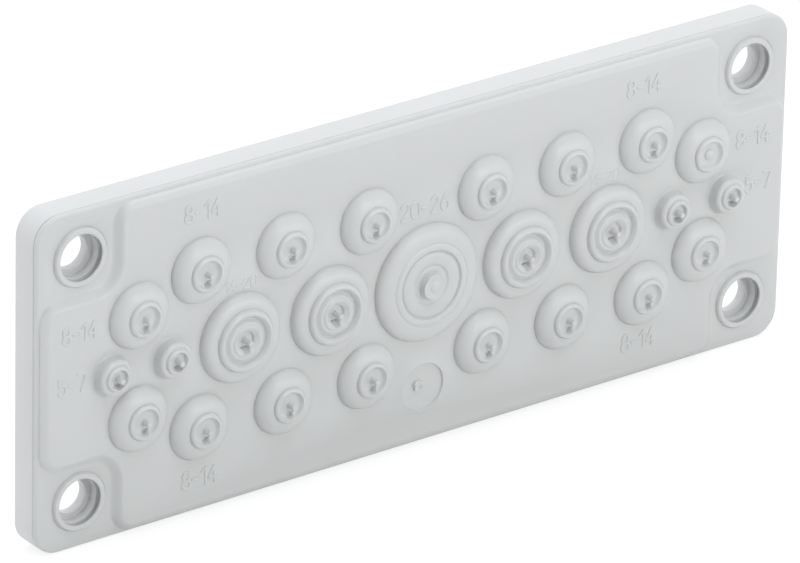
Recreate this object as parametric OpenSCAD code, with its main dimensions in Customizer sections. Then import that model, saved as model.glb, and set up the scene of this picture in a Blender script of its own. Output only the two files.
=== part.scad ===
// Cable entry plate: a rigid carrier plate with a soft moulded front whose closed
// membranes seal cables of four size ranges. The plate stands upright on one long
// edge, its front faces -Y, and its length runs along X. All sizes in millimetres.

/* [Carrier plate] */
// Length of the plate
plate_l = 218; // [206:1:240]
// Width of the plate, upright in this model
plate_w = 84; // [80:1:96]
// Radius of the plate's four corners
corner_r = 6.5; // [5:0.5:8]
// Thickness of the carrier from its back rim to the soft front
carrier_t = 7.4; // [6.5:0.1:10]
// Width of the rim round the back of the carrier
rim_w = 3; // [2:0.5:4]
// Depth of the pocket inside that rim
pocket_depth = 2.5; // [1:0.1:3.2]

/* [Screw holes] */
// Distance from the plate's ends to the screw holes
hole_inset_x = 12; // [11:0.5:15]
// Distance from the plate's long edges to the screw holes
hole_inset_z = 11.5; // [11:0.5:14]
// Diameter of the screw holes
hole_d = 8.4; // [5:0.1:9.6]
// Diameter of the recess for the screw head
head_d = 11.2; // [10:0.1:11.4]
// Depth of the head recess below the carrier's front
head_depth = 2.3; // [1:0.1:2.8]
// Bore of the soft collar round each screw hole
collar_bore_d = 11.5; // [11.3:0.1:12.5]
// Wall of the soft collar at its foot
collar_wall = 1.75; // [1.2:0.05:2.5]
// Height of the soft collar above the corner land
collar_h = 0.75; // [0.4:0.05:1.5]

/* [Soft front] */
// Thickness of the soft front at its edge and on the corner lands
skin_t = 1; // [0.9:0.1:1.6]
// Radius along the front edge of the soft front
skin_edge_r = 0.8; // [0.3:0.1:0.8]
// Height of the raised panel above the corner lands
panel_rise = 1.8; // [1:0.1:2.4]
// Width of the edge left bare round the raised panel
panel_margin = 1; // [0.6:0.1:2]
// Radius of the panel's outer corners
panel_corner_r = 4; // [3:0.5:5]
// Radius of the panel's inner corners, beside the screw holes
panel_notch_r = 5; // [3:0.5:6]
// Distance from a screw hole's axis to the panel
notch_clear = 9.2; // [8.8:0.1:11]
// Diameter of the flat gate mark on the panel
gate_d = 12; // [6:0.5:13]
// Depth of the gate mark
gate_depth = 0.2; // [0.1:0.05:0.4]
// Distance of the gate mark below the plate's middle
gate_drop = 27; // [26:0.5:30]

/* [Cable ranges] */
// Largest cable of the middle entry
cable_large = 26; // [22:0.5:27]
// Largest cable of the second entry size
cable_mid = 20; // [18:0.5:21]
// Largest cable of the third entry size
cable_std = 14; // [12.5:0.5:15]
// Largest cable of the smallest entries
cable_small = 7; // [6:0.5:8]
// Play between the largest cable and its window, on the diameter
cable_clear = 0.6; // [0.2:0.1:1]
// Wall of the middle entry round its window
wall_large = 1.4; // [1:0.1:1.6]
// Wall of the second entry size round its window
wall_mid = 0.75; // [0.6:0.05:1.2]
// Wall of the third entry size round its window
wall_std = 0.8; // [0.6:0.05:1.2]
// Wall of the smallest entries round their windows
wall_small = 1.2; // [1:0.1:1.5]

/* [Entry layout] */
// Distance of the two long rows from the plate's middle
row_z = 19.65; // [19:0.05:22]
// First entry of a long row, measured from the plate's middle
row_first = 17; // [15:0.1:18]
// Pitch of the entries in a long row
row_pitch = 23.9; // [22:0.1:24.5]
// Entries in a long row on each side of the plate's middle
row_count = 3; // [1:1:3]
// End entries, measured along the plate from its middle
end_x = 82; // [81:0.1:84]
// End entries, measured across the plate from its middle
end_z = 12.85; // [12:0.05:13.5]
// First entry of the second size, measured from the plate's middle
mid_first = 27.9; // [27:0.1:29]
// Pitch of the two entries of the second size
mid_pitch = 25.7; // [24:0.1:26.5]
// First of the smallest entries, measured from the plate's middle
small_first = 72.9; // [72:0.1:74]
// Pitch of the two smallest entries
small_pitch = 16.6; // [15:0.1:17]

/* [Membranes] */
// Height of the middle entry's dome above the panel
dome_large_h = 2.45; // [2:0.05:3.2]
// Height of the second size's dome above the panel
dome_mid_h = 2.7; // [2:0.05:3.2]
// Height of the third size's dome above the panel
dome_std_h = 2.95; // [2:0.05:3.4]
// Height of the smallest entries' shoulder above the panel
dome_small_h = 2.95; // [2:0.05:3.4]
// Upright foot of each dome above the panel
dome_foot = 0.4; // [0.2:0.05:0.6]
// Depth of the fine ring grooves, where a membrane is torn open
groove_depth = 0.15; // [0.05:0.05:0.3]
// Height of a rim's crest above the dome
rim_h = 0.8; // [0.4:0.05:1.2]
// Radius of the crest round the cup of the second and third sizes
cup_r = 3.4; // [3:0.05:3.8]
// Radius of the crest round the cup of the smallest entries
cup_small_r = 2.5; // [2.2:0.05:2.6]
// Radius of the button on the middle entry
button_r = 3.1; // [2:0.05:3.6]
// Height of that button's edge above the dome
button_h = 1.3; // [0.4:0.1:2]
// Height of the pull pegs' tips above the panel
peg_h = 5; // [4.6:0.1:6]
// Diameter of a pull peg at its tip
peg_d = 1.3; // [1:0.1:1.5]
// Diameter of the small pit beside each peg
pit_d = 1.4; // [1:0.1:1.5]
// Depth of that pit below the cup's floor
pit_depth = 1.2; // [0.4:0.1:1.3]
// Height of the hollow behind each membrane above the panel
hollow_h = 0.5; // [0.3:0.1:0.6]

/* [Hidden] */
$fn = 64;

// Heights above the back rim's face
land_z = carrier_t + skin_t;
panel_z = land_z + panel_rise;
depth_all = panel_z + peg_h;

// Quarter of the screw holes' and the panel's plan
hole_x = plate_l / 2 - hole_inset_x;
hole_y = plate_w / 2 - hole_inset_z;
panel_x = plate_l / 2 - panel_margin;
panel_y = plate_w / 2 - panel_margin;
notch_x = hole_x - notch_clear;
notch_y = hole_y - notch_clear;

// Overlap that keeps cuts clear of shared faces, steps of rounded edges and of domes,
// and the thin slices that a rounded edge is drawn over
cut = 0.5;
edge_steps = 4;
arc_steps = 8;
layer = 0.01;

// Radii of the windows in the carrier and of the domes round them
window_large = (cable_large + cable_clear) / 2;
window_mid = (cable_mid + cable_clear) / 2;
window_std = (cable_std + cable_clear) / 2;
window_small = (cable_small + cable_clear) / 2;
foot_large = window_large + wall_large;
foot_mid = window_mid + wall_mid;
foot_std = window_std + wall_std;
foot_small = window_small + wall_small;

// Places of the entries as [along, across] from the plate's middle
sides = [-1, 1];
large_places = [[0, 0]];
mid_places = [for (s = sides, i = [0:1]) [s * (mid_first + i * mid_pitch), 0]];
small_places = [for (s = sides, i = [0:1]) [s * (small_first + i * small_pitch), 0]];
row_places = [for (s = sides, t = sides, i = [0:row_count - 1])
    [s * (row_first + i * row_pitch), t * row_z]];
end_places = [[-end_x, end_z], [-end_x, -end_z], [end_x, -end_z]];
// One end entry has a plain button in its cup in place of a peg
plain_places = [[end_x, end_z]];
std_places = concat(row_places, end_places);
hole_places = [for (s = sides, t = sides) [s * hole_x, t * hole_y]];

// Shape details of the membranes, as radial and height offsets
rim_slope = 0.95;      // run of the slope from a dome's groove to a rim's crest
crest_round = 0.25;    // half width of a crest
crest_drop = 0.08;     // fall from a crest's middle to its sides
cup_slope = 0.45;      // run of a cup's inner wall
cup_drop = 0.85;       // depth of a cup below its crest
peg_foot = 0.15;       // extra radius at a peg's foot
peg_nose = 0.25;       // rounding of a peg's tip
valley_run = 1.25;     // run from the second size's crest to its valley
ridge_rise = 0.35;     // height of the ridge between valley and cup, below the cup's crest
ring_w = 2;            // width of the flat ring on the middle entry
recess_w = 1.8;        // width of the recess round the middle entry's button
step_h = 0.3;          // height of the middle entry's small steps
shoulder_run = 0.9;    // run of the smallest entries' rounded shoulder
shoulder_drop = 1.2;   // height of that shoulder
shoulder_lip = 0.2;    // width of the flat above that shoulder
dome_curve = 1.6;      // how much a dome's flank flattens towards its top, 1 for a cone
pit_gap = 0.35;        // space between a peg's foot and the pit beside it
pit_small_gap = 0.1;   // the same in the smallest entries
collar_draft = 0.5;    // lean of a collar's outer wall

// Points of an elliptical arc round (r, z) from angle a to angle b
function arc(r, z, half_r, half_z, a, b, steps = arc_steps) =
    [for (i = [0:steps]) let (t = a + (b - a) * i / steps)
        [r + half_r * cos(t), z + half_z * sin(t)]];

// Outline of a dome: an upright foot, a flank that flattens to its top, and a fine groove
function dome(foot, top, h) = concat(
    [[foot, 0]],
    [for (i = [0:arc_steps]) let (u = 1 - i / arc_steps)
        [top + (foot - top) * u, h - (h - dome_foot) * pow(u, dome_curve)]],
    [[top - groove_depth, h - groove_depth]]);

// Rounded crest at radius r and height z
function crest(r, z) = [[r + crest_round, z - crest_drop], [r, z], [r - crest_round, z - crest_drop]];

// Floor of a cup at height z with a pull peg standing on it
function peg(z) = [
    [peg_d / 2 + peg_foot, z],
    [peg_d / 2, peg_h - peg_nose],
    [peg_d / 2 - peg_nose, peg_h],
    [0, peg_h]];

// Low round button of radius r and height h, with a small flat on top
function button(r, z, h) = let (top = arc(0, z, r, h, 0, 80)) concat(top, [[0, top[arc_steps][1]]]);

// Cup inside the crest at radius r and height z
function cup(r, z) = [[r - crest_round - cup_slope, z - cup_drop]];

std_crest_h = dome_std_h + rim_h;
std_top = cup_r + crest_round + rim_slope;
std_cup = concat(dome(foot_std, std_top, dome_std_h), crest(cup_r, std_crest_h), cup(cup_r, std_crest_h));
std_profile = concat(std_cup, peg(std_crest_h - cup_drop));
plain_profile = concat(std_cup, button(peg_d, std_crest_h - cup_drop, peg_d / 2));

// The second size has a higher crest further out, with a valley between it and the cup
mid_crest_r = 2 * cup_r - crest_round;
mid_crest_h = dome_mid_h + 1.5 * rim_h;
mid_valley_h = dome_mid_h - groove_depth;
mid_cup_h = mid_valley_h + rim_h + ridge_rise;
mid_profile = concat(
    dome(foot_mid, mid_crest_r + crest_round + rim_slope, dome_mid_h),
    crest(mid_crest_r, mid_crest_h),
    [[mid_crest_r - valley_run, mid_valley_h]],
    [[cup_r + rim_slope, mid_valley_h + rim_h - ridge_rise]],
    crest(cup_r, mid_cup_h),
    cup(cup_r, mid_cup_h),
    peg(mid_cup_h - cup_drop));

// The middle entry steps down twice inside its dome and has a round button
ring_out = foot_large - 3 * wall_large;
ring_in = ring_out - ring_w;
recess_r = button_r + recess_w;
large_profile = concat(
    dome(foot_large, ring_out, dome_large_h),
    [[ring_out - 2 * groove_depth, dome_large_h + groove_depth / 2], [ring_in, dome_large_h + groove_depth]],
    [[ring_in - groove_depth, dome_large_h - step_h / 2], [recess_r + groove_depth, dome_large_h]],
    [[recess_r, dome_large_h - step_h], [button_r + groove_depth, dome_large_h - step_h]],
    button(button_r, dome_large_h + button_h, step_h));

// The smallest entries are steep, with a rounded shoulder below the crest
small_crest_h = dome_small_h + 0.8 * rim_h;
small_top = cup_small_r + crest_round + rim_slope - shoulder_lip;
small_profile = concat(
    [[foot_small, 0]],
    arc(small_top, dome_small_h - shoulder_drop, shoulder_run, shoulder_drop, 0, 90),
    [[small_top - groove_depth, dome_small_h - groove_depth]],
    crest(cup_small_r, small_crest_h),
    cup(cup_small_r, small_crest_h),
    peg(small_crest_h - cup_drop));

// Places a shape that was drawn flat, with its back at height 0, upright in the model
module upright() {
    translate([0, depth_all / 2, plate_w / 2]) rotate([90, 0, 0]) children();
}

// Puts a copy of a shape at each place
module each_place(places) {
    for (p = places) translate([p[0], p[1], 0]) children();
}

// Rectangle of half sizes x and y with round corners
module round_rect(x, y, r) {
    square([2 * x, 2 * (y - r)], center = true);
    square([2 * (x - r), 2 * y], center = true);
    for (s = sides, t = sides) translate([s * (x - r), t * (y - r)]) circle(r);
}

// Slab of height h with round corners and a round front edge
module edged_slab(x, y, r, h, edge) {
    hull() {
        linear_extrude(h - edge) round_rect(x, y, r, $fn = 32);
        for (i = [1:edge_steps]) {
            a = 90 * i / edge_steps;
            inset = edge * (1 - cos(a));
            translate([0, 0, h - edge + edge * sin(a) - layer])
                linear_extrude(layer) round_rect(x - inset, y - inset, r - inset, $fn = 32);
        }
    }
}

// Solid that fills one inner corner of the panel, up to a round edge
module notch_fill(h, edge) {
    reach = panel_notch_r + edge;
    difference() {
        translate([-reach - cut, -reach - cut, 0])
            linear_extrude(h) square(reach + cut + panel_notch_r);
        translate([panel_notch_r, panel_notch_r, 0])
            rotate_extrude()
                polygon(concat(
                    [[0, -cut], [panel_notch_r, -cut]],
                    arc(reach, h - edge, edge, edge, 180, 90, edge_steps),
                    [[reach, h + cut], [0, h + cut]]));
    }
}

// Raised panel with a square notch at each corner, from the carrier's front upwards
module panel() {
    h = skin_t + panel_rise;
    edged_slab(panel_x, notch_y, panel_corner_r, h, panel_rise);
    edged_slab(notch_x, panel_y, panel_corner_r, h, panel_rise);
    for (s = sides, t = sides)
        translate([s * notch_x, t * notch_y, 0])
            mirror([s < 0 ? 1 : 0, 0, 0]) mirror([0, t < 0 ? 1 : 0, 0])
                notch_fill(h, panel_rise);
}

// Membrane entry turned from its profile, standing on the panel
module entry(profile) {
    root = skin_t + panel_rise - cut;
    rotate_extrude() polygon(concat([[0, -root], [profile[0][0], -root]], profile));
}

// Hollow behind a membrane and, further back, its window in the carrier
module window(r, front) {
    translate([0, 0, -cut]) cylinder(r = r, h = front + cut);
}

// Small pit in a cup's floor at height z, below the peg in the plate's plane
module pit(z, gap) {
    r = peg_d / 2 + peg_foot + gap + pit_d / 2;
    translate([0, -r, z - pit_depth]) cylinder(d = pit_d, h = pit_depth + cup_drop);
}

// Rigid plate with a rim at the back, a window for each entry and four screw holes
module carrier_plate() {
    color([0.78, 0.79, 0.78]) upright() difference() {
        linear_extrude(carrier_t) round_rect(plate_l / 2, plate_w / 2, corner_r);
        translate([0, 0, -cut])
            linear_extrude(pocket_depth + cut)
                round_rect(plate_l / 2 - rim_w, plate_w / 2 - rim_w, corner_r - rim_w);
        each_place(large_places) window(window_large, carrier_t + cut);
        each_place(mid_places) window(window_mid, carrier_t + cut);
        each_place(concat(std_places, plain_places)) window(window_std, carrier_t + cut);
        each_place(small_places) window(window_small, carrier_t + cut);
        each_place(hole_places) {
            window(hole_d / 2, carrier_t + cut);
            translate([0, 0, carrier_t - head_depth]) cylinder(d = head_d, h = head_depth + cut);
        }
    }
}

// Soft collar round a screw hole, standing on the corner land
module collar() {
    foot = collar_bore_d / 2 + collar_wall;
    rotate_extrude() polygon([
        [collar_bore_d / 2, cut], [foot, cut], [foot, skin_t],
        [foot - collar_draft, skin_t + collar_h], [collar_bore_d / 2, skin_t + collar_h]]);
}

// One soft moulding: front skin, raised panel, collars and all the membranes
module membrane_sheet() {
    color([0.81, 0.82, 0.81]) upright() translate([0, 0, carrier_t]) difference() {
        union() {
            edged_slab(plate_l / 2, plate_w / 2, corner_r, skin_t, skin_edge_r);
            panel();
            each_place(hole_places) collar();
            translate([0, 0, skin_t + panel_rise]) {
                each_place(large_places) entry(large_profile);
                each_place(mid_places) entry(mid_profile);
                each_place(std_places) entry(std_profile);
                each_place(plain_places) entry(plain_profile);
                each_place(small_places) entry(small_profile);
            }
        }
        each_place(hole_places) window(collar_bore_d / 2, skin_t + collar_h + cut);
        each_place(large_places) window(window_large, skin_t + panel_rise + hollow_h);
        each_place(mid_places) window(window_mid, skin_t + panel_rise + hollow_h);
        each_place(concat(std_places, plain_places)) window(window_std, skin_t + panel_rise + hollow_h);
        each_place(small_places) window(window_small, skin_t + panel_rise + hollow_h);
        translate([0, 0, skin_t + panel_rise]) {
            each_place(mid_places) pit(mid_cup_h - cup_drop, pit_gap);
            each_place(std_places) pit(std_crest_h - cup_drop, pit_gap);
            each_place(small_places) pit(small_crest_h - cup_drop, pit_small_gap);
            translate([0, -gate_drop, -gate_depth]) cylinder(d = gate_d, h = gate_depth + cut);
        }
    }
}

carrier_plate();
membrane_sheet();
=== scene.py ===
"""Cable entry plate: a rigid carrier with a soft grey front whose closed membranes seal cables."""

import bmesh
import bpy
import numpy as np
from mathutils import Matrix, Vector
from mathutils.geometry import delaunay_2d_cdt


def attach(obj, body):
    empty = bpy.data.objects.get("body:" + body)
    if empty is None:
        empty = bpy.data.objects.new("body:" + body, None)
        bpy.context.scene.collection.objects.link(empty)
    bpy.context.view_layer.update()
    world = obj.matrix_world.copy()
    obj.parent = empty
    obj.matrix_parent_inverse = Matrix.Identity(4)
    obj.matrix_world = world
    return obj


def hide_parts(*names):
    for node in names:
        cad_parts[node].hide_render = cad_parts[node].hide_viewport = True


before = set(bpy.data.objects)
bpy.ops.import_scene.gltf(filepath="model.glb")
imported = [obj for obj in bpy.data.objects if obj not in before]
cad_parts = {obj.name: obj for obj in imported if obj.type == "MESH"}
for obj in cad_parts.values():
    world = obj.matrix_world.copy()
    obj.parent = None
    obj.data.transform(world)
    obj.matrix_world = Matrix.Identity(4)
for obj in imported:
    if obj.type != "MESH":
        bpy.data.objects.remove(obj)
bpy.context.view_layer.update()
scene = bpy.context.scene
scene.view_settings.view_transform = "Standard"

# Carrier plate
# The rigid back of light grey thermoplastic, injection moulded in one shot. It has a rim round a
# shallow pocket, a window behind each membrane, and a ledge in each corner for a screw's head.
HALF_LENGTH = 109.0
HALF_WIDTH = 42.0
HALF_DEPTH = 7.6
CORNER = 6.5
CARRIER_T = 7.4
RIM = 3.0
RIM_ROUND = 0.3
BACK_ROUND = 0.5
POCKET = 2.5
POCKET_ROUND = 0.4
PARTING = 0.6
PARTING_ROUND = 0.3
PARTING_LIP = 0.05
SCREW_AT = np.array([[97.0, 30.5], [-97.0, 30.5], [-97.0, -30.5], [97.0, -30.5]])
SCREW_STEPS = 64
BORE = 4.2
HEAD = 5.6
HEAD_CHAMFER = 0.1
LEDGE = 5.1
LEDGE_ROUND = 0.15
LARGE_AT = np.array([[0.0, 0.0]])
LARGE_WINDOW = 13.3
LARGE_STEPS = 112
MID_AT = np.array([[27.9, 0.0], [53.6, 0.0], [-27.9, 0.0], [-53.6, 0.0]])
MID_WINDOW = 10.3
MID_STEPS = 88
ROW_START = 17.0
ROW_PITCH = 23.9
ROW_ACROSS = 19.65
ROW_AT = np.array([[side * (ROW_START + ROW_PITCH * i), half * ROW_ACROSS]
                   for side in (-1, 1) for half in (-1, 1) for i in range(3)])
END_X = 82.0
END_Y = 12.85
PEGGED_AT = np.concatenate([ROW_AT, [[-END_X, END_Y], [-END_X, -END_Y], [END_X, -END_Y]]])
PLAIN_AT = np.array([[END_X, END_Y]])
STD_WINDOW = 7.3
STD_STEPS = 72
SMALL_AT = np.array([[72.9, 0.0], [89.5, 0.0], [-72.9, 0.0], [-89.5, 0.0]])
SMALL_WINDOW = 3.8
SMALL_STEPS = 56
WINDOWS = [(LARGE_AT, LARGE_WINDOW, LARGE_STEPS), (MID_AT, MID_WINDOW, MID_STEPS),
           (PEGGED_AT, STD_WINDOW, STD_STEPS), (PLAIN_AT, STD_WINDOW, STD_STEPS),
           (SMALL_AT, SMALL_WINDOW, SMALL_STEPS)]
WINDOW_ROUND = 0.3
WINDOW_CHAMFER = 0.15


def upright(plate):
    """Plate millimetres (along, across, height above the back rim) as metres in the object's frame:
    along is X, across is Z from the plate's lower edge, and height runs to the front, which is -Y."""
    along, across, height = np.moveaxis(np.asarray(plate, float), -1, 0)
    return np.stack([along, HALF_DEPTH - height, across + HALF_WIDTH], -1) / 1000


def rounded_outline(half_x, half_y, radius, steps=14):
    """Points round a rounded rectangle and their outward normals: a quarter circle about each corner's
    centre, one after the other, so that the straight sides join them."""
    turn = np.radians(np.linspace(0, 90, steps)[None] + 90 * np.arange(4)[:, None])
    normal = np.stack([np.cos(turn), np.sin(turn)], -1)
    quarter = np.array([[1, 1], [-1, 1], [-1, -1], [1, -1]])[:, None]
    centre = quarter * (half_x - radius, half_y - radius)
    return (centre + radius * normal).reshape(-1, 2), normal.reshape(-1, 2)


def inset(outline, distance):
    """Points of an outline moved inward: each one goes against its normal by the distance."""
    point, normal = outline
    return point - distance * normal


def ring_faces(rows, columns):
    """Quads between neighbouring rows of a grid whose columns close into a ring."""
    row, column = np.meshgrid(np.arange(rows - 1) * columns, np.arange(columns), indexing="ij")
    after = (column + 1) % columns
    corners = [row + column, row + after, row + columns + after, row + columns + column]
    return np.stack(corners, -1).reshape(-1, 4)


def carried(outline, profile):
    """A profile of (inset, height) carried round an outline: each point is the outline's point moved
    against its normal by the inset, and lifted to the height. The profile may differ on the way."""
    point, normal = outline
    depth, height = np.moveaxis(np.asarray(profile, float).reshape(len(profile), -1, 2), -1, 0)
    plan = point[None] - depth[..., None] * normal[None]
    lift = np.broadcast_to(height[..., None], plan.shape[:2] + (1,))
    return np.concatenate([plan, lift], -1).reshape(-1, 3), ring_faces(len(depth), len(point))


def ring(radius, steps):
    """Points round a circle about the origin."""
    turn = np.radians(np.arange(steps) * 360 / steps)
    return radius * np.stack([np.cos(turn), np.sin(turn)], -1)


def turned(profile, places, steps):
    """A profile of (radius, height) turned about an axis at each place: radius times the unit circle,
    shifted to the place, at the profile's height."""
    radius, height = np.asarray(profile, float).T
    plan = radius[:, None, None] * ring(1, steps)[None]
    grid = np.concatenate([plan, np.broadcast_to(height[:, None, None], plan.shape[:2] + (1,))], -1)
    shift = np.pad(places, ((0, 0), (0, 1)))[:, None]
    points = grid.reshape(1, -1, 3) + shift
    first = (np.arange(len(places)) * points.shape[1])[:, None, None]
    return points.reshape(-1, 3), (ring_faces(len(radius), steps)[None] + first).reshape(-1, 4)


def arc(middle, half, start, end, steps):
    """Points of an elliptical arc: the middle plus the half sizes times cosine and sine of the angle."""
    turn = np.radians(np.linspace(start, end, steps))
    return np.asarray(middle) + np.asarray(half) * np.stack([np.cos(turn), np.sin(turn)], -1)


def encloses(loop, spots):
    """Which spots lie inside a loop: those from which a level line to the right crosses it an odd
    number of times."""
    start = loop[None]
    end = np.roll(loop, -1, axis=0)[None]
    x, y = spots[:, None, 0], spots[:, None, 1]
    spans = (start[..., 1] > y) != (end[..., 1] > y)
    rise = np.where(spans, end[..., 1] - start[..., 1], 1.0)
    meets = start[..., 0] + (y - start[..., 1]) / rise * (end[..., 0] - start[..., 0])
    return (spans & (x < meets)).sum(1) % 2 == 1


def flat(loops, height, front):
    """Flat face at a height, inside the first loop and outside the others: triangles of a Delaunay
    net that keeps every loop's edges, turned to face the front or the back."""
    first = np.cumsum([0] + [len(loop) for loop in loops[:-1]])
    edges = [np.stack([n + np.arange(len(loop)), n + np.roll(np.arange(len(loop)), -1)], -1)
             for n, loop in zip(first, loops)]
    net = delaunay_2d_cdt(np.concatenate(loops).tolist(), np.concatenate(edges).tolist(), [], 0, 1e-7)
    plan = np.array(net[0])
    faces = np.array(net[2])
    middle = plan[faces].mean(1)
    cut = np.any([encloses(loop, middle) for loop in loops[1:]], axis=0)
    faces = faces[encloses(loops[0], middle) & ~cut]
    a, b, c = np.moveaxis(plan[faces], 1, 0)
    leftward = (b[:, 0] - a[:, 0]) * (c[:, 1] - a[:, 1]) > (b[:, 1] - a[:, 1]) * (c[:, 0] - a[:, 0])
    faces = np.where(leftward[:, None] == front, faces, faces[:, ::-1])
    return np.pad(plan, ((0, 0), (0, 1)), constant_values=((0, 0), (0, height))), faces


def holes(windows, wider=0.0):
    """One circle for each place of each (places, radius, steps) window, wider by the given amount."""
    return [place + ring(radius + wider, steps) for places, radius, steps in windows for place in places]


def piece(name, surfaces, finish, crease=38):
    """Object from (points, faces) surfaces: the points are stacked and the faces renumbered, points
    that meet are merged, and edges that turn by more than the crease angle stay sharp."""
    first = np.cumsum([0] + [len(points) for points, _ in surfaces])
    mesh = bpy.data.meshes.new(name)
    faces = [face for n, (_, part) in zip(first, surfaces) for face in (part + n).tolist()]
    mesh.from_pydata(upright(np.concatenate([points for points, _ in surfaces])).tolist(), [], faces)
    merged = bmesh.new()
    merged.from_mesh(mesh)
    bmesh.ops.remove_doubles(merged, verts=merged.verts, dist=1e-6)
    merged.to_mesh(mesh)
    merged.free()
    mesh.shade_smooth()
    mesh.set_sharp_from_angle(angle=np.radians(crease))
    mesh.materials.append(finish)
    made = bpy.data.objects.new(name, mesh)
    scene.collection.objects.link(made)
    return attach(made, "root")


plate_outline = rounded_outline(HALF_LENGTH, HALF_WIDTH, CORNER)
carrier_edge = np.concatenate([
    arc((RIM + POCKET_ROUND, POCKET - POCKET_ROUND), (-POCKET_ROUND, POCKET_ROUND), 90, 0, 5),
    arc((RIM - RIM_ROUND, RIM_ROUND), (RIM_ROUND, -RIM_ROUND), 0, 90, 5),
    arc((BACK_ROUND, BACK_ROUND), (-BACK_ROUND, -BACK_ROUND), 90, 0, 6),
    arc((PARTING_ROUND, CARRIER_T - PARTING_LIP - PARTING_ROUND), (-PARTING_ROUND, PARTING_ROUND), 0, 90, 6),
    [(PARTING - PARTING_LIP, CARRIER_T - PARTING_LIP), (PARTING, CARRIER_T)]])
bore_wall = np.concatenate([
    [(HEAD + HEAD_CHAMFER, CARRIER_T), (HEAD, CARRIER_T - HEAD_CHAMFER)],
    arc((HEAD - LEDGE_ROUND, LEDGE + LEDGE_ROUND), (LEDGE_ROUND, -LEDGE_ROUND), 0, 90, 4),
    arc((BORE + LEDGE_ROUND, LEDGE - LEDGE_ROUND), (-LEDGE_ROUND, LEDGE_ROUND), 90, 0, 4),
    arc((BORE + WINDOW_ROUND, POCKET + WINDOW_ROUND), (-WINDOW_ROUND, -WINDOW_ROUND), 0, 90, 5)])
bores = [(SCREW_AT, BORE, SCREW_STEPS)]
head_rims = [(SCREW_AT, HEAD + HEAD_CHAMFER, SCREW_STEPS)]
carrier_surfaces = [
    carried(plate_outline, carrier_edge),
    flat([inset(plate_outline, RIM + POCKET_ROUND)] + holes(WINDOWS + bores, WINDOW_ROUND), POCKET, False),
    flat([inset(plate_outline, PARTING)] + holes(WINDOWS, WINDOW_CHAMFER) + holes(head_rims),
         CARRIER_T, True),
    turned(bore_wall, SCREW_AT, SCREW_STEPS)]
for places, radius, steps in WINDOWS:
    window_wall = np.concatenate([
        [(radius + WINDOW_CHAMFER, CARRIER_T), (radius, CARRIER_T - WINDOW_CHAMFER)],
        arc((radius + WINDOW_ROUND, POCKET + WINDOW_ROUND), (-WINDOW_ROUND, -WINDOW_ROUND), 0, 90, 5)])
    carrier_surfaces.append(turned(window_wall, places, steps))


def moulded_skin():
    """Node group for moulded surfaces: fine grain from a small noise, and slow flow marks from a
    large, stretched one. Height feeds a bump, and Tone moves colour and gloss."""
    group = bpy.data.node_groups.new("moulded_skin", "ShaderNodeTree")
    for name in ("Grain Scale", "Flow Scale", "Flow Share"):
        group.interface.new_socket(name, in_out="INPUT", socket_type="NodeSocketFloat")
    for name in ("Height", "Tone"):
        group.interface.new_socket(name, in_out="OUTPUT", socket_type="NodeSocketFloat")
    entry = group.nodes.new("NodeGroupInput")
    leave = group.nodes.new("NodeGroupOutput")
    place = group.nodes.new("ShaderNodeTexCoord")
    grain = group.nodes.new("ShaderNodeTexNoise")
    flow = group.nodes.new("ShaderNodeTexNoise")
    stretch = group.nodes.new("ShaderNodeMapping")
    blend = group.nodes.new("ShaderNodeMix")
    grain.inputs["Detail"].default_value = 3.0
    flow.inputs["Detail"].default_value = 2.0
    flow.inputs["Distortion"].default_value = 0.6
    stretch.inputs["Scale"].default_value = (0.55, 1.0, 1.0)
    link = group.links.new
    link(place.outputs["Object"], grain.inputs["Vector"])
    link(place.outputs["Object"], stretch.inputs["Vector"])
    link(stretch.outputs["Vector"], flow.inputs["Vector"])
    link(entry.outputs["Grain Scale"], grain.inputs["Scale"])
    link(entry.outputs["Flow Scale"], flow.inputs["Scale"])
    link(entry.outputs["Flow Share"], blend.inputs["Factor"])
    link(grain.outputs["Fac"], blend.inputs["A"])
    link(flow.outputs["Fac"], blend.inputs["B"])
    link(blend.outputs["Result"], leave.inputs["Height"])
    link(flow.outputs["Fac"], leave.inputs["Tone"])
    return group


MOULDED_SKIN = moulded_skin()


def moulded(name, dark, light, dull, bright, grain_scale, flow_scale, flow_share, depth):
    """Moulded material: Tone mixes a darker and a lighter shade and a duller and a glossier finish,
    and Height makes a bump of the given depth in metres."""
    made = bpy.data.materials.new(name)
    made.use_nodes = True
    nodes = made.node_tree.nodes
    link = made.node_tree.links.new
    shader = nodes["Principled BSDF"]
    skin = nodes.new("ShaderNodeGroup")
    skin.node_tree = MOULDED_SKIN
    skin.inputs["Grain Scale"].default_value = grain_scale
    skin.inputs["Flow Scale"].default_value = flow_scale
    skin.inputs["Flow Share"].default_value = flow_share
    shade = nodes.new("ShaderNodeMix")
    shade.data_type = "RGBA"
    shade.inputs["A"].default_value = (*dark, 1)
    shade.inputs["B"].default_value = (*light, 1)
    gloss = nodes.new("ShaderNodeMapRange")
    gloss.inputs["To Min"].default_value = dull
    gloss.inputs["To Max"].default_value = bright
    bump = nodes.new("ShaderNodeBump")
    bump.inputs["Strength"].default_value = 0.6
    bump.inputs["Distance"].default_value = depth
    link(skin.outputs["Tone"], shade.inputs["Factor"])
    link(shade.outputs["Result"], shader.inputs["Base Color"])
    link(skin.outputs["Tone"], gloss.inputs["Value"])
    link(gloss.outputs["Result"], shader.inputs["Roughness"])
    link(skin.outputs["Height"], bump.inputs["Height"])
    link(bump.outputs["Normal"], shader.inputs["Normal"])
    return made


carrier_plastic = moulded("carrier_plastic", dark=(0.602, 0.607, 0.6), light=(0.642, 0.647, 0.643),
                          dull=0.44, bright=0.36, grain_scale=2600, flow_scale=45, flow_share=0.1,
                          depth=2.5e-5)
carrier = piece("carrier_moulding", carrier_surfaces, carrier_plastic)
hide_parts("carrier_plate")

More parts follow.
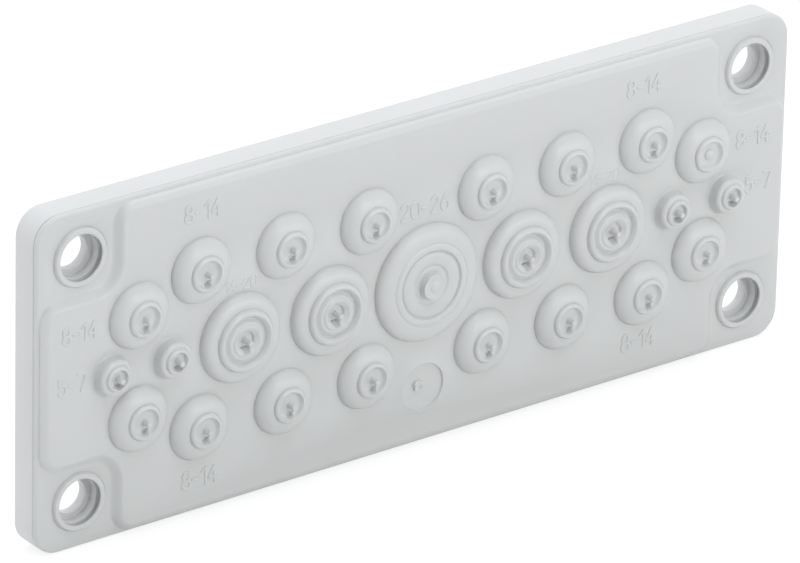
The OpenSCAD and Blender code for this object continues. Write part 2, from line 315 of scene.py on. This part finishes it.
# Soft front
# The sheet of light grey elastomer, moulded straight on to the carrier. Its edge is rounded, it
# lies low round the four screw collars, and it rises to one panel that carries the membranes.
SHEET_BACK = CARRIER_T + 0.02
LAND = 8.4
LAND_ROUND = 0.8
PANEL = 10.2
PANEL_X = 108.0
PANEL_Y = 41.0
PANEL_CORNER = 5.0
PANEL_ROUND = 1.9
FILLET_OUT = 0.15
FILLET_UP = 0.2
NOTCH_X = 87.8
NOTCH_Y = 21.3
NOTCH_CORNER = 6.0
SLOPE_RUN = 2.8
SLOPE_OUT = 0.6
COLLAR = 7.5
UNDERCUT = 6.56
LARGE_FOOT = 14.7
MID_FOOT = 11.05
STD_FOOT = 8.1
SMALL_FOOT = 5.0
FEET = [(LARGE_AT, LARGE_FOOT, LARGE_STEPS), (MID_AT, MID_FOOT, MID_STEPS),
        (PEGGED_AT, STD_FOOT, STD_STEPS), (PLAIN_AT, STD_FOOT, STD_STEPS),
        (SMALL_AT, SMALL_FOOT, SMALL_STEPS)]
SEAT = 0.13
SEAT_DEPTH = 0.5
CREASE = 0.03
GATE_AT = np.array([[0.0, -27.0]])
GATE = 6.2
GATE_DEPTH = 0.5
GATE_STEPS = 64
STUB_AT = GATE_AT + (-1.3, 0.6)


def notched_outline(steps=12):
    """Points and outward normals round the raised panel, a cross with round corners: in each quarter
    an outer corner, a hollow corner beside the screw, and another outer corner. With them comes each
    point's share of the soft slope beside the screws, 1 in a notch and 0 along the plate's edges."""
    corners = [((PANEL_X - PANEL_CORNER, NOTCH_Y - PANEL_CORNER), PANEL_CORNER, (0, 90), 1),
               ((NOTCH_X + NOTCH_CORNER, NOTCH_Y + NOTCH_CORNER), NOTCH_CORNER, (270, 180), -1),
               ((NOTCH_X - PANEL_CORNER, PANEL_Y - PANEL_CORNER), PANEL_CORNER, (0, 90), 1)]
    point = np.concatenate([arc(middle, (r, r), *turn, steps) for middle, r, turn, _ in corners])
    normal = np.concatenate([way * arc((0, 0), (1, 1), *turn, steps) for _, _, turn, way in corners])
    soft = np.concatenate([np.linspace(0, 1, steps), np.ones(steps), np.linspace(1, 0, steps)])
    signs = np.array([[1, 1], [-1, 1], [-1, -1], [1, -1]])
    order = [slice(None) if s[0] * s[1] > 0 else slice(None, None, -1) for s in signs]
    return ((np.concatenate([point[o] * s for s, o in zip(signs, order)]),
             np.concatenate([normal[o] * s for s, o in zip(signs, order)])),
            np.concatenate([soft[o] for o in order]))


def torn(surface, place):
    """Roughens a small turned stub, as where a sprue broke off: its radius swings by three and five
    waves round the axis, and its height by two."""
    points, faces = surface
    local = points - np.pad(place[0], (0, 1))
    turn = np.arctan2(local[:, 1], local[:, 0])
    local[:, :2] *= 1 + 0.12 * np.sin(3 * turn + 0.7)[:, None] + 0.06 * np.sin(5 * turn)[:, None]
    tall = np.clip(local[:, 2] - PANEL + 0.3, 0, None)
    local[:, 2] += 0.45 * tall * np.sin(2 * turn + 2.4)
    return local + np.pad(place[0], (0, 1)), faces


panel_outline, panel_soft = notched_outline()
sheet_edge = np.concatenate([
    [(PARTING, SHEET_BACK), (PARTING - PARTING_LIP, SHEET_BACK + 0.1)],
    arc((0.1, SHEET_BACK + 0.22), (-0.1, -0.1), 90, 0, 4),
    arc((LAND_ROUND, LAND - LAND_ROUND), (-LAND_ROUND, LAND_ROUND), 0, 90, 9)])
panel_round = np.concatenate([
    arc((-FILLET_OUT, LAND + FILLET_UP), (FILLET_OUT, -FILLET_UP), 90, 0, 5),
    arc((PANEL_ROUND, LAND + FILLET_UP), (-PANEL_ROUND, PANEL - LAND - FILLET_UP), 0, 90, 13)[1:]])
rise = np.linspace(0, 1, len(panel_round))
panel_slope = np.stack([SLOPE_RUN * rise - SLOPE_OUT,
                        LAND + (PANEL - LAND) * rise * rise * (3 - 2 * rise)], -1)
panel_edge = carried(panel_outline, panel_round[:, None] * (1 - panel_soft[:, None])
                     + panel_slope[:, None] * panel_soft[:, None])
panel_foot = panel_edge[0][:len(panel_soft), :2]
panel_brim = panel_edge[0][-len(panel_soft):, :2]
collar_wall = np.concatenate([
    [(COLLAR, LAND), (7.45, LAND - 0.03), (7.42, LAND - 0.12), (7.32, LAND - 0.14)],
    [(7.28, LAND - 0.1), (7.22, LAND + 0.16), (7.08, LAND + 0.42)],
    arc((6.72, LAND + 0.5), (0.25, 0.25), 25, 90, 5),
    arc((5.95, LAND + 0.57), (-0.18, 0.18), 90, 0, 5),
    [(5.78, LAND + 0.4), (5.88, LAND + 0.28), (6.28, LAND + 0.02), (6.52, LAND - 0.3)],
    [(UNDERCUT, SHEET_BACK)]])
gate_mark = [(GATE, 0.0), (6.12, 0.05), (6.02, 0.05), (5.97, -0.02), (5.92, -0.4), (5.84, -0.48),
             (5.6, -GATE_DEPTH), (3.0, -GATE_DEPTH), (0.0, -GATE_DEPTH)]
gate_stub = [(1.45, -0.6), (1.45, -0.4), (1.3, 0.1), (1.0, 0.25), (0.75, 0.15), (0.45, -0.1),
             (0.0, -0.15), (0.0, -0.6)]
collars = [(SCREW_AT, COLLAR, SCREW_STEPS)]
undercuts = [(SCREW_AT, UNDERCUT, SCREW_STEPS)]
gates = [(GATE_AT, GATE, GATE_STEPS)]
sheet_surfaces = [
    carried(plate_outline, sheet_edge),
    panel_edge,
    flat([inset(plate_outline, LAND_ROUND), panel_foot] + holes(collars), LAND, True),
    flat([panel_brim] + holes(FEET, SEAT) + holes(gates), PANEL, True),
    flat([inset(plate_outline, PARTING)] + holes(WINDOWS + undercuts), SHEET_BACK, False),
    turned(collar_wall, SCREW_AT, SCREW_STEPS),
    turned(np.add(gate_mark, (0, PANEL)), GATE_AT, GATE_STEPS),
    torn(turned(np.add(gate_stub, (0, PANEL)), STUB_AT, steps=40), STUB_AT)]
for (places, foot, steps), (_, window, _) in zip(FEET, WINDOWS):
    seat = [(foot + SEAT, PANEL), (foot + 0.09, PANEL - 0.01), (foot + 0.07, PANEL - CREASE),
            (foot + 0.07, PANEL - SEAT_DEPTH), (window, PANEL - SEAT_DEPTH), (window, SHEET_BACK)]
    sheet_surfaces.append(turned(seat, places, steps))
elastomer = moulded("elastomer", dark=(0.613, 0.62, 0.611), light=(0.648, 0.655, 0.646),
                    dull=0.39, bright=0.31, grain_scale=3400, flow_scale=28, flow_share=0.35,
                    depth=4e-5)
sheet = piece("membrane_front", sheet_surfaces, elastomer)
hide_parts("membrane_sheet")

# Membrane entries
# Closed domes of the same elastomer, moulded with the sheet. A fine groove shows where to tear a
# membrane, a crest rings the cup, and the peg in the cup is pulled to open it.
ROOT = -0.6
WALL_GAP = 0.03
FOOT_RISE = 0.2
PEG_TOP = 5.0
PEG_CLEAR = 0.9
PIT_SIDE = 0.5
SKIN = 2.0


def cap(outer, window, ceiling):
    """Closed profile of a membrane: its outer line from the crease to the axis, then the hollow's
    ceiling, the hollow's wall just inside the window, and a root sunk in the sheet."""
    corner = np.array([0.28 * window, 0.65 * ceiling])
    under = np.concatenate([
        [(0.0, ceiling)],
        arc((window, ceiling) - corner, corner - (WALL_GAP, 0), 90, 0, 7),
        [(window - WALL_GAP, ROOT), (outer[0][0], ROOT)],
        outer[:1]])
    return np.concatenate([outer, under]) + (0, PANEL)


def dome(foot, top, height, bend, lift, steps=18):
    """Outer line of a dome: the floor of a fine crease, a short foot, and a flank. With w the share of
    the way left to the top, the flank rises as 1 less w to the power of the bend, all to the power of
    the lift. Its points crowd at the foot."""
    left = 1 - np.linspace(0, 1, steps) ** 1.8
    up = FOOT_RISE + (height - FOOT_RISE) * (1 - left ** bend) ** lift
    flank = np.stack([top + (foot - top) * left, up], -1)
    return np.concatenate([[(foot + 0.12, -CREASE), (foot + 0.03, -CREASE), (foot, -0.01)], flank])


def peg(floor):
    """Outer line of a pull peg from the cup's floor to its rounded tip, with a faint ring at its
    foot."""
    return np.concatenate([
        [(1.5, floor), (1.34, floor + 0.08), (1.2, floor + 0.07), (0.92, floor), (0.76, floor + 0.05)],
        [(0.7, floor + 0.3), (0.67, PEG_TOP - 0.5)],
        arc((0.33, PEG_TOP - 0.34), (0.34, 0.34), 0, 90, 6),
        [(0.0, PEG_TOP)]])


def pitted(surface, places, corners, depth, inside):
    """Sinks a small pit below each peg: between the corners, which run against the clock, the cup's
    floor drops by the depth, in a smooth step over half a millimetre across the sides."""
    points, faces = surface
    grid = points.reshape(len(places), -1, 3).copy()
    local = grid[..., :2] - places[:, None]
    corner = np.asarray(corners, float)
    along = np.roll(corner, -1, axis=0) - corner
    inward = np.stack([-along[:, 1], along[:, 0]], -1) / np.linalg.norm(along, axis=1, keepdims=True)
    within = (local @ inward.T - (corner * inward).sum(1)).min(-1)
    far = np.linalg.norm(local, axis=-1)
    on_floor = (far > PEG_CLEAR) & (far < inside) & (grid[..., 2] > PANEL + SKIN)
    sink = np.clip(within / PIT_SIDE + 0.5, 0, 1)
    grid[..., 2] -= depth * sink * sink * (3 - 2 * sink) * on_floor
    return grid.reshape(-1, 3), faces


std_cup = np.concatenate([
    dome(STD_FOOT, top=4.62, height=2.82, bend=1.5, lift=0.56),
    [(4.56, 2.77), (4.48, 2.75), (4.4, 2.81)],
    arc((3.7, 2.9), (0.68, 0.76), 6, 78, 8),
    arc((3.6, 3.54), (0.16, 0.16), 60, 150, 5),
    [(3.34, 3.46), (3.16, 3.2), (2.98, 2.97), (2.78, 2.83), (2.5, 2.79)]])
std_line = np.concatenate([std_cup, np.linspace((2.4, 2.78), (1.6, 2.9), 11), peg(2.9)])
std_entries = pitted(turned(cap(std_line, STD_WINDOW, ceiling=1.3), PEGGED_AT, STD_STEPS), PEGGED_AT,
                     [(-0.75, -1.75), (-0.3, -3.0), (0.7, -3.0), (0.85, -1.75)], depth=1.0, inside=3.3)
plain_line = np.concatenate([
    std_cup,
    np.linspace((2.4, 2.78), (1.5, 2.78), 3),
    arc((0, 2.78), (1.4, 0.7), 0, 90, 9)])
plain_entry = turned(cap(plain_line, STD_WINDOW, ceiling=1.3), PLAIN_AT, STD_STEPS)
entries_14 = piece("membranes_14", [std_entries, plain_entry], elastomer)

mid_line = np.concatenate([
    dome(MID_FOOT, top=7.9, height=2.5, bend=2.6, lift=0.53, steps=20),
    [(7.83, 2.44), (7.75, 2.42), (7.67, 2.48)],
    arc((6.74, 2.55), (0.9, 1.07), 8, 75, 8),
    arc((6.62, 3.46), (0.18, 0.17), 60, 150, 5),
    [(6.34, 3.42), (5.7, 2.68)],
    arc((5.48, 2.62), (0.22, -0.2), 20, 150, 5),
    [(5.18, 2.6), (4.8, 2.95), (4.6, 3.1), (4.43, 3.17), (4.25, 3.16), (4.1, 3.1), (3.98, 3.09)],
    [(3.86, 3.16), (3.66, 3.34)],
    arc((3.47, 3.31), (0.16, 0.14), 55, 140, 5),
    [(3.02, 3.2), (2.62, 2.94), (2.38, 2.78), (2.24, 2.6), (2.16, 2.3)],
    arc((2.04, 2.26), (0.1, -0.1), 20, 90, 3),
    np.linspace((1.96, 2.16), (1.56, 2.2), 6),
    peg(2.2)])
mid_entries = pitted(turned(cap(mid_line, MID_WINDOW, ceiling=1.1), MID_AT, MID_STEPS), MID_AT,
                     [(-0.8, -1.62), (-0.3, -2.95), (0.8, -2.9), (0.95, -1.62)], depth=1.1, inside=3.1)
entries_20 = piece("membranes_20", [mid_entries], elastomer)

large_line = np.concatenate([
    dome(LARGE_FOOT, top=10.52, height=2.38, bend=2.6, lift=0.5, steps=22),
    [(10.44, 2.3), (10.36, 2.27), (10.28, 2.34), (10.1, 2.46), (9.6, 2.55), (8.95, 2.56)],
    [(8.74, 2.5), (8.6, 2.28), (8.5, 2.02), (8.34, 1.94), (8.18, 2.02), (8.06, 2.2), (7.88, 2.32)],
    [(6.4, 2.36), (5.35, 2.34), (5.12, 2.27), (4.97, 2.14), (4.8, 2.0), (4.58, 1.94), (4.36, 1.98)],
    [(4.18, 2.08), (4.0, 2.14), (3.5, 2.18), (3.34, 2.14), (3.24, 2.14), (3.16, 2.25), (3.12, 3.5)],
    arc((2.95, 3.72), (0.15, 0.12), 0, 110, 5),
    [(2.8, 3.8), (1.7, 3.84), (1.5, 3.82), (1.36, 3.86)],
    arc((0, 3.86), (1.3, 0.28), 8, 90, 7)])
large_entry = turned(cap(large_line, LARGE_WINDOW, ceiling=1.0), LARGE_AT, LARGE_STEPS)
entry_26 = piece("membrane_26", [large_entry], elastomer)

small_line = np.concatenate([
    [(5.15, -0.06), (5.13, 0.0), (SMALL_FOOT, 0.02), (4.86, 0.1), (4.76, 0.3), (4.68, 0.8), (4.5, 1.6)],
    arc((3.5, 1.75), (0.98, 1.08), 5, 88, 9),
    [(3.4, 2.8), (3.3, 2.74), (3.2, 2.78)],
    arc((2.62, 2.86), (0.52, 0.66), 8, 78, 7),
    arc((2.52, 3.44), (0.17, 0.16), 60, 150, 5),
    [(2.3, 3.4), (2.14, 3.08), (2.02, 2.78)],
    arc((1.86, 2.76), (0.15, -0.14), 20, 90, 3),
    np.linspace((1.8, 2.62), (1.56, 2.64), 4),
    peg(2.65)])
small_entries = pitted(turned(cap(small_line, SMALL_WINDOW, ceiling=1.0), SMALL_AT, SMALL_STEPS), SMALL_AT,
                       [(-0.65, -1.3), (0.3, -2.6), (1.2, -2.4), (0.75, -1.3)], depth=1.2, inside=2.4)
entries_7 = piece("membranes_7", [small_entries], elastomer)
for membranes in (entries_14, entries_20, entry_26, entries_7):
    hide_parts("membrane_sheet")

# Cable ranges
# Plain numerals raised on the panel, moulded with it, that give the cable diameters each entry size
# takes. Each is drawn with a round-nosed cutter, so its strokes have round ends and sides.
STROKE = 0.72
STROKE_RISE = 0.25
GLYPH_TALL = 4.2
GLYPH_GAP = 0.8
GLYPHS = {
    "0": (2.2, [[*arc((1.1, 3.1), (1.1, 1.1), 180, 0, 9),
                 *arc((1.1, 1.1), (1.1, 1.1), 0, -180, 9), (0.0, 3.1)]]),
    "1": (1.1, [[(0.0, 3.2), (1.0, 4.2), (1.0, 0.0)]]),
    "2": (2.2, [[*arc((1.1, 3.1), (1.05, 1.1), 170, -25, 10), (0.0, 0.0), (2.2, 0.0)]]),
    "4": (2.3, [[(1.5, 4.2), (0.0, 1.2), (2.3, 1.2)], [(1.65, 2.2), (1.65, 0.0)]]),
    "5": (2.1, [[(1.95, 4.2), (0.25, 4.2), (0.15, 2.35), *arc((1.0, 1.35), (1.1, 1.3), 115, -150, 12)]]),
    "6": (2.2, [[*arc((2.2, 1.4), (2.15, 2.8), 100, 180, 8),
                 *arc((1.1, 1.2), (1.05, 1.2), 180, 540, 14)]]),
    "7": (2.2, [[(0.0, 4.2), (2.2, 4.2), (0.8, 0.0)]]),
    "8": (2.2, [arc((1.1, 3.15), (0.92, 1.05), -90, 270, 15),
                arc((1.1, 1.08), (1.1, 1.08), 90, 450, 15)]),
    "-": (1.8, [[(0.0, 2.0), (1.8, 2.0)]])}


def strokes_of(words, size):
    """Stroke lines of a row of numerals about the origin: glyphs set side by side, each with its width
    and a gap, and the row scaled to the size."""
    width = sum(GLYPHS[letter][0] for letter in words) + GLYPH_GAP * (len(words) - 1)
    start = np.cumsum([0.0] + [GLYPHS[letter][0] + GLYPH_GAP for letter in words[:-1]]) - width / 2
    return [(np.asarray(line, float) + (x, -GLYPH_TALL / 2)) * size / GLYPH_TALL
            for x, letter in zip(start, words) for line in GLYPHS[letter][1]]


def ribbon(line, place, size, steps=40, tip=5):
    """Raised stroke along a line: the line is walked in even steps, and at each step a half-round
    section is set across it, which narrows to a round end at both tips. Small numerals have finer,
    flatter strokes."""
    leg = np.r_[0, np.cumsum(np.linalg.norm(np.diff(line, axis=0), axis=1))]
    width = STROKE * size / GLYPH_TALL
    nose = width / 2
    walk = np.r_[np.linspace(-nose, 0, tip), np.linspace(0, leg[-1], steps)[1:-1],
                 np.linspace(leg[-1], leg[-1] + nose, tip)]
    inner = walk.clip(0, leg[-1])
    spot = np.stack([np.interp(inner, leg, line[:, 0]), np.interp(inner, leg, line[:, 1])], -1)
    tangent = np.gradient(spot, axis=0)
    tangent[:tip - 1] = tangent[tip]
    tangent[1 - tip:] = tangent[-tip - 1]
    tangent /= np.linalg.norm(tangent, axis=1, keepdims=True)
    spot = spot + (walk - inner)[:, None] * tangent
    side = np.stack([-tangent[:, 1], tangent[:, 0]], -1)
    share = np.sqrt(np.clip(1 - ((walk - inner) / nose) ** 2, 0, 1))
    section = np.array([(0.5, -0.5), (0.5, 0.0), (0.4, 0.6), (0.2, 0.95), (0, 1.0), (-0.2, 0.95),
                        (-0.4, 0.6), (-0.5, 0.0), (-0.5, -0.5)])
    across = section[:, 0] * width
    tall = STROKE_RISE * (size / GLYPH_TALL) ** 2
    plan = spot[:, None] + side[:, None] * (across[None] * share[:, None])[..., None] + place
    lift = PANEL + section[None, :, 1] * tall * np.where(section[None, :, 1] > 0, share[:, None], 1)
    points = np.concatenate([plan, lift[..., None]], -1).reshape(-1, 3)
    return points, ring_faces(len(walk), len(section))


ranges = [("8-14", (-64.3, 34.3), 4.2), ("8-14", (63.6, 34.0), 4.2), ("8-14", (-64.3, -32.6), 4.2),
          ("8-14", (64.4, -31.9), 4.2), ("8-14", (-98.2, 12.7), 4.0), ("8-14", (97.6, 12.7), 4.2),
          ("5-7", (-100.2, 0.3), 4.2), ("5-7", (99.8, 0.4), 4.2), ("14-20", (-53.3, 13.2), 2.9),
          ("14-20", (52.4, 13.3), 2.9), ("20-26", (-0.6, 19.1), 4.2)]
strokes = [ribbon(line, place, size) for words, place, size in ranges for line in strokes_of(words, size)]
numerals = piece("cable_ranges", strokes, elastomer, crease=60)
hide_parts("membrane_sheet")

# Studio
# A pale floor that the plate stands on, in a surround that is bright above and to both sides of the
# back. A broad panel overhead, one behind at the left, a small bright one in front and a low strip
# at the right fill in the light.
FLOOR_HALF = 6.0
FLOOR_Z = -0.0002
PLATE_MIDDLE = (0, 0, 0.04)
SKY_BEHIND = 4.9
SKY_ABOVE = 0.85


def worked_out(tree, operation, *terms):
    """Output of a math node: the operation on its terms, each a number or another node's output."""
    node = tree.nodes.new("ShaderNodeMath")
    node.operation = operation
    for entry, term in zip(node.inputs, terms):
        if isinstance(term, float):
            entry.default_value = term
        else:
            tree.links.new(term, entry)
    return node.outputs["Value"]


def seen(tree):
    """1 for a ray that shows a surface to the camera, straight, in a mirror or through glass, and 0
    for one that only carries light: the largest of the light path's three marks."""
    mark = tree.nodes.new("ShaderNodeLightPath").outputs
    mirrored = worked_out(tree, "MAXIMUM", mark["Is Glossy Ray"], mark["Is Transmission Ray"])
    return worked_out(tree, "MAXIMUM", mark["Is Camera Ray"], mirrored)


def light_panel(name, place, width, height, power, tint=(1, 1, 1)):
    """Rectangular light at a place, turned so that it shines at the plate's middle."""
    lamp = bpy.data.lights.new(name, "AREA")
    lamp.shape = "RECTANGLE"
    lamp.size = width
    lamp.size_y = height
    lamp.energy = power
    lamp.color = tint
    made = bpy.data.objects.new(name, lamp)
    made.location = place
    made.rotation_euler = (made.location - Vector(PLATE_MIDDLE)).to_track_quat("Z", "Y").to_euler()
    scene.collection.objects.link(made)


floor_plan = FLOOR_HALF * np.array([[-1, -1], [1, -1], [1, 1], [-1, 1]])
floor_points = np.pad(floor_plan, ((0, 0), (0, 1)), constant_values=((0, 0), (0, FLOOR_Z)))
floor_mesh = bpy.data.meshes.new("floor")
floor_mesh.from_pydata(floor_points.tolist(), [], [(0, 1, 2, 3)])
floor = bpy.data.objects.new("floor", floor_mesh)
scene.collection.objects.link(floor)
paper = bpy.data.materials.new("floor_paper")
paper.use_nodes = True
nodes = paper.node_tree.nodes
link = paper.node_tree.links.new
nodes.clear()
matt = nodes.new("ShaderNodeBsdfDiffuse")
matt.inputs["Color"].default_value = (0.8, 0.8, 0.8, 1)
shadowed = nodes.new("ShaderNodeBsdfDiffuse")
shadowed.inputs["Color"].default_value = (0.25, 0.25, 0.25, 1)
glow = nodes.new("ShaderNodeEmission")
glow.inputs["Strength"].default_value = 0.8
white = nodes.new("ShaderNodeAddShader")
pick = nodes.new("ShaderNodeMixShader")
paper_out = nodes.new("ShaderNodeOutputMaterial")
link(shadowed.outputs["BSDF"], white.inputs[0])
link(glow.outputs["Emission"], white.inputs[1])
link(seen(paper.node_tree), pick.inputs["Fac"])
link(matt.outputs["BSDF"], pick.inputs[1])
link(white.outputs["Shader"], pick.inputs[2])
link(pick.outputs["Shader"], paper_out.inputs["Surface"])
floor_mesh.materials.append(paper)

surround = bpy.data.worlds.new("surround")
surround.use_nodes = True
sky = surround.node_tree
link = sky.links.new
studio_air = sky.nodes["Background"]
studio_air.inputs["Color"].default_value = (0.985, 1.0, 1.03, 1)
backdrop = sky.nodes.new("ShaderNodeBackground")
backdrop.inputs["Color"].default_value = (1, 1, 1, 1)
sky_pick = sky.nodes.new("ShaderNodeMixShader")
direction = sky.nodes.new("ShaderNodeTexCoord")
sides = sky.nodes.new("ShaderNodeSeparateXYZ")
link(direction.outputs["Generated"], sides.inputs["Vector"])
behind = worked_out(sky, "MAXIMUM", sides.outputs["Y"], 0.0)
aside = worked_out(sky, "SUBTRACT", 1.0, sides.outputs["Y"])
from_behind = worked_out(sky, "MULTIPLY", behind, aside)
above = worked_out(sky, "MAXIMUM", sides.outputs["Z"], 0.0)
from_above = worked_out(sky, "MULTIPLY", above, SKY_ABOVE)
brightness = worked_out(sky, "MULTIPLY_ADD", from_behind, SKY_BEHIND, from_above)
link(brightness, studio_air.inputs["Strength"])
link(seen(sky), sky_pick.inputs["Fac"])
link(studio_air.outputs["Background"], sky_pick.inputs[1])
link(backdrop.outputs["Background"], sky_pick.inputs[2])
link(sky_pick.outputs["Shader"], sky.nodes["World Output"].inputs["Surface"])
scene.world = surround

light_panel("overhead", (0.2, -0.5, 1.8), width=1.2, height=1.2, power=7.5, tint=(0.95, 1.0, 1.04))
light_panel("left_back", (-1.5, 0.6, 0.2), width=0.8, height=0.4, power=2.0)
light_panel("front_key", (0.25, -1.77, 0.92), width=0.22, height=0.22, power=5.8)
light_panel("front_low", (0.6, -1.15, 0.2), width=1.0, height=0.35, power=3.1)

# Camera
# A long lens in front of the plate, to its left and above it.
view = bpy.data.cameras.new("view")
view.sensor_width = 36.0
view.lens = 385.32
view.clip_end = 50.0
camera = bpy.data.objects.new("view", view)
camera.location = (-1.11101, -1.42822, 0.86737)
camera.rotation_euler = np.radians((65.4463, -1.2243, -37.1844))
scene.collection.objects.link(camera)
scene.camera = camera
